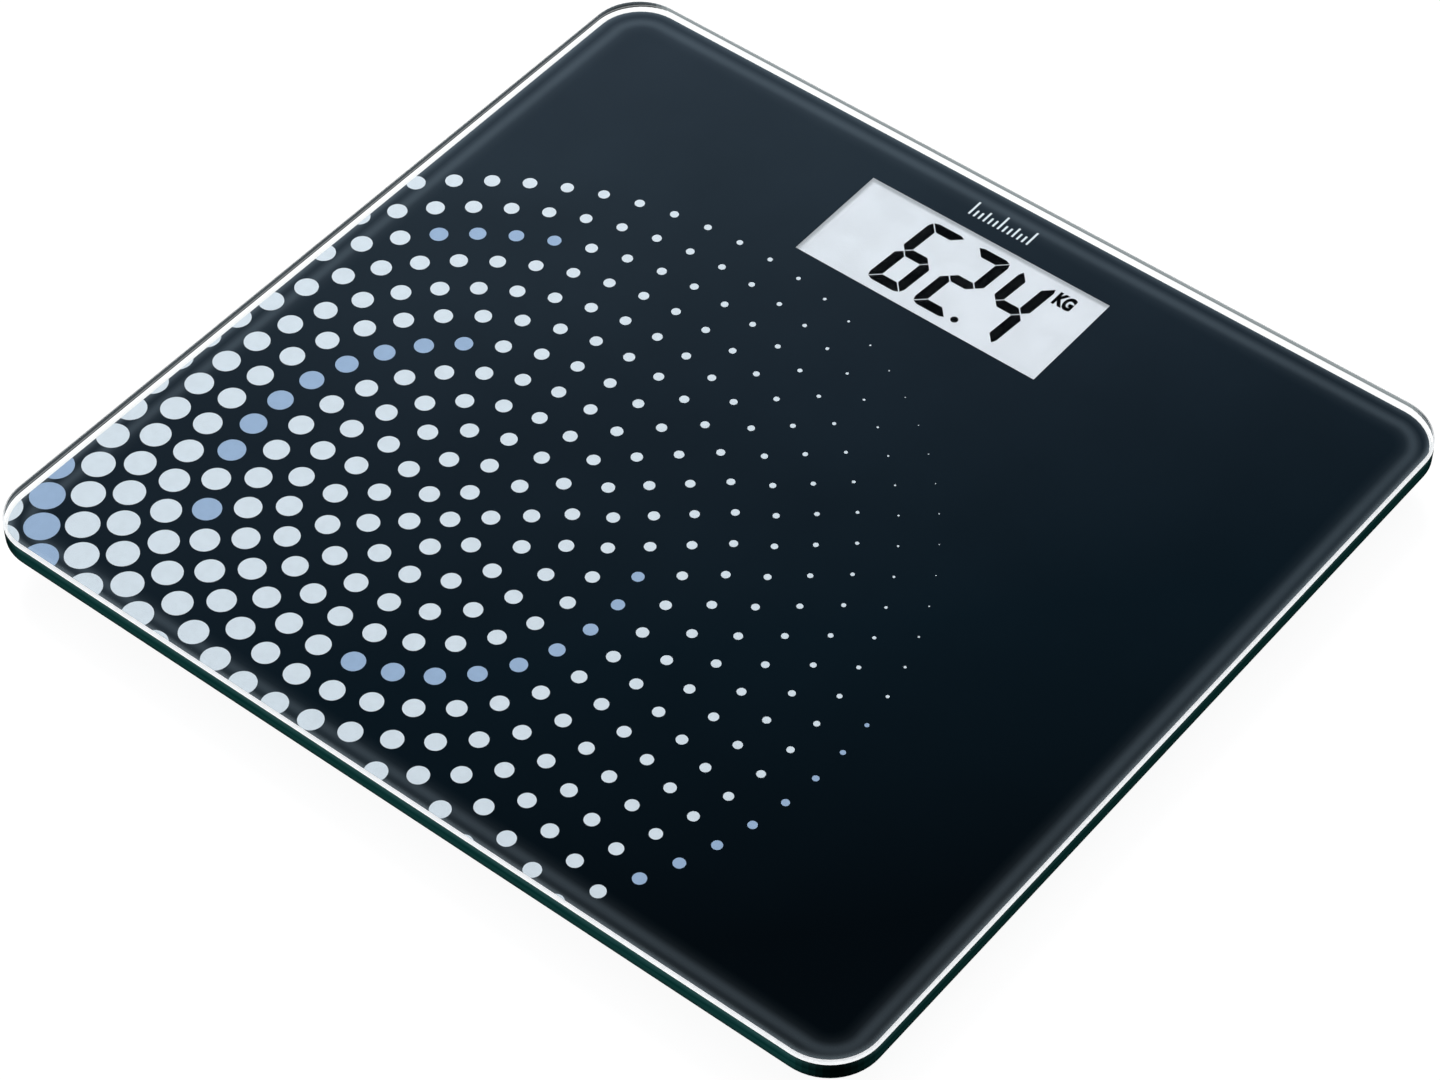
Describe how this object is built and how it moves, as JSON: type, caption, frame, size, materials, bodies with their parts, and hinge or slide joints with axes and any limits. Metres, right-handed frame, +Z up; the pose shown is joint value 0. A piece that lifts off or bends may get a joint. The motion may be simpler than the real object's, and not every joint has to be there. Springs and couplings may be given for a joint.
{
  "type": "digital bathroom scale",
  "caption": "Rounded rectangular glass platform on sprung load-cell feet, with a liquid crystal display under a window in the print, a hinged battery lid and a unit button underneath.",
  "frame": {"origin": "on the floor, under the centre of the glass platform", "axes": "+Z up, +Y from the user's side towards the display, +X to the user's right"},
  "size_m": [0.318, 0.3, 0.023],
  "materials": {
    "platform_glass": "polished, tempered, ground bevels",
    "ink": "screen-printed ink seen through glass",
    "black_plastic": "fine spark-eroded texture",
    "grey_plastic": "satin",
    "foam": "closed-cell adhesive foam",
    "screw_steel": "zinc plated",
    "spring_steel": "nickel plated",
    "battery_steel": "polished can",
    "display_glass": "clear",
    "display_film": "pale grey-blue film",
    "elastomer": "silicone",
    "circuit_board": "green solder mask",
    "epoxy": "cast epoxy",
    "components": "moulded",
    "foot_plastic": "satin",
    "cell_steel": "stamped, nickel plated",
    "gauge_film": "potted in sealant",
    "foot_rubber": "matt",
    "wire_insulation": "PVC, one black, one red, one white per loom"
  },
  "bodies": {
    "platform": {"glass_platform": "platform_glass", "printed_film": "ink", "display_shell": "black_plastic", "back_cover": "black_plastic", "lcd_holder": "black_plastic", "unit_switch": "grey_plastic", "shell_gasket": "foam", "foot_adhesive": "foam", "cover_screws": "screw_steel", "board_screws": "screw_steel", "battery_spring_contact": "spring_steel", "battery_side_contact": "spring_steel", "coin_battery": "battery_steel", "lcd_front_glass": "display_glass", "lcd_rear_glass": "display_glass", "lcd_polariser": "display_film", "lcd_reflector": "display_film", "zebra_strip": "elastomer", "main_board": "circuit_board", "chip_blob": "epoxy", "board_parts": "components", "foot_housing_front_left": "black_plastic", "cable_duct_front_left": "black_plastic", "load_cell_front_left": "cell_steel", "strain_gauge_front_left": "gauge_film", "wire_loom_front_left": "wire_insulation", "foot_housing_front_right": "black_plastic", "cable_duct_front_right": "black_plastic", "load_cell_front_right": "cell_steel", "strain_gauge_front_right": "gauge_film", "wire_loom_front_right": "wire_insulation", "foot_housing_rear_left": "black_plastic", "cable_duct_rear_left": "black_plastic", "load_cell_rear_left": "cell_steel", "strain_gauge_rear_left": "gauge_film", "wire_loom_rear_left": "wire_insulation", "foot_housing_rear_right": "black_plastic", "cable_duct_rear_right": "black_plastic", "load_cell_rear_right": "cell_steel", "strain_gauge_rear_right": "gauge_film", "wire_loom_rear_right": "wire_insulation"},
    "foot_front_left": {"foot_disc_front_left": "foot_plastic", "rubber_pad_front_left": "foot_rubber"},
    "foot_front_right": {"foot_disc_front_right": "foot_plastic", "rubber_pad_front_right": "foot_rubber"},
    "foot_rear_left": {"foot_disc_rear_left": "foot_plastic", "rubber_pad_rear_left": "foot_rubber"},
    "foot_rear_right": {"foot_disc_rear_right": "foot_plastic", "rubber_pad_rear_right": "foot_rubber"},
    "battery_door": {"battery_lid": "black_plastic"},
    "unit_key": {"unit_button": "grey_plastic", "switch_plunger": "grey_plastic"}
  },
  "joints": [
    {"name": "foot_travel_front_left", "type": "slide", "parent": "platform", "child": "foot_front_left", "axis": [0, 0, 1], "range_m": [0, 0.0005], "stiffness_N_per_m": 4000, "springref_m": -0.002, "deforming": ["load_cell_front_left", "strain_gauge_front_left"]},
    {"name": "foot_travel_front_right", "type": "slide", "parent": "platform", "child": "foot_front_right", "axis": [0, 0, 1], "range_m": [0, 0.0005], "stiffness_N_per_m": 4000, "springref_m": -0.002, "deforming": ["load_cell_front_right", "strain_gauge_front_right"]},
    {"name": "foot_travel_rear_left", "type": "slide", "parent": "platform", "child": "foot_rear_left", "axis": [0, 0, 1], "range_m": [0, 0.0005], "stiffness_N_per_m": 4000, "springref_m": -0.002, "deforming": ["load_cell_rear_left", "strain_gauge_rear_left"]},
    {"name": "foot_travel_rear_right", "type": "slide", "parent": "platform", "child": "foot_rear_right", "axis": [0, 0, 1], "range_m": [0, 0.0005], "stiffness_N_per_m": 4000, "springref_m": -0.002, "deforming": ["load_cell_rear_right", "strain_gauge_rear_right"]},
    {"name": "battery_lid_hinge", "type": "hinge", "parent": "platform", "child": "battery_door", "pos_m": [0, 0.0803, 0.0055], "axis": [1, 0, 0], "range_deg": [0, 90]},
    {"name": "unit_button_press", "type": "slide", "parent": "platform", "child": "unit_key", "axis": [0, 0, 1], "range_m": [0, 0.0004], "stiffness_N_per_m": 400, "springref_m": -0.001}
  ]
}
